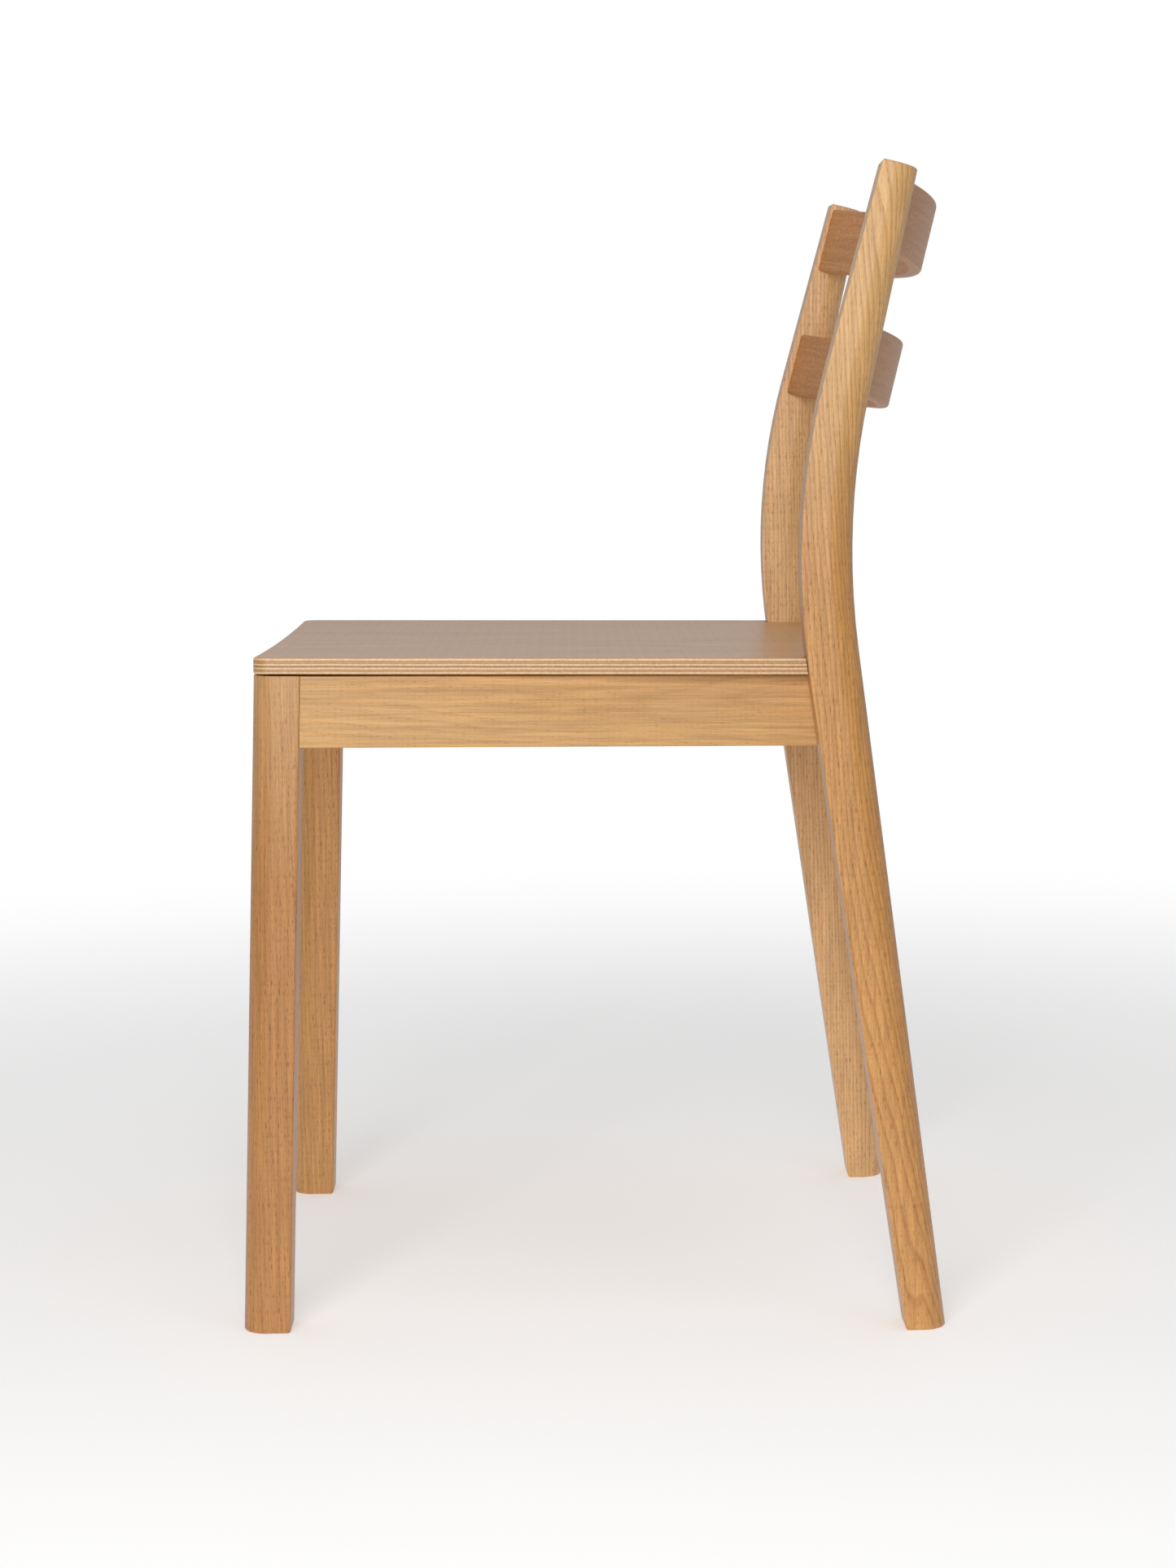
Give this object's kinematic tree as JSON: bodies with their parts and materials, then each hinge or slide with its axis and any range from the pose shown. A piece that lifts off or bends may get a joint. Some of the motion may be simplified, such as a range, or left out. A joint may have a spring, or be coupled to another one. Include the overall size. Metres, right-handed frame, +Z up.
{
  "type": "dining chair",
  "caption": "Armless oak dining chair: straight front legs, bent rear legs rising as back posts, a dished plywood seat and two curved back slats.",
  "frame": {"origin": "on the floor, midway across the width and midway between the front of the front feet and the crown of the top slat", "axes": "+Z up; the chair faces -Y; +X towards the sitter's left"},
  "size_m": [0.489, 0.493, 0.7702],
  "materials": {
    "oak": "satin lacquer",
    "oak_plywood": "satin lacquer",
    "bent_oak": "satin lacquer",
    "beech": "unfinished",
    "zinc_steel": "zinc plated",
    "brass": "turned",
    "black_rubber": "matt"
  },
  "bodies": {
    "root": {"front_leg_left": "oak", "front_leg_right": "oak", "rear_leg_left": "oak", "rear_leg_right": "oak", "side_apron_left": "oak", "side_apron_right": "oak", "front_apron": "oak", "rear_apron": "oak", "seat_panel": "oak_plywood", "top_back_slat": "bent_oak", "lower_back_slat": "bent_oak", "corner_block_front_left": "beech", "corner_block_front_right": "beech", "corner_block_rear_left": "beech", "corner_block_rear_right": "beech", "side_apron_dowels": "beech", "front_apron_dowels": "beech", "rear_apron_dowels": "beech", "rear_leg_bolts": "zinc_steel", "corner_block_screws": "zinc_steel", "seat_screws": "zinc_steel", "rear_leg_insert_nuts": "brass", "seat_spacers": "black_rubber"}
  },
  "joints": []
}
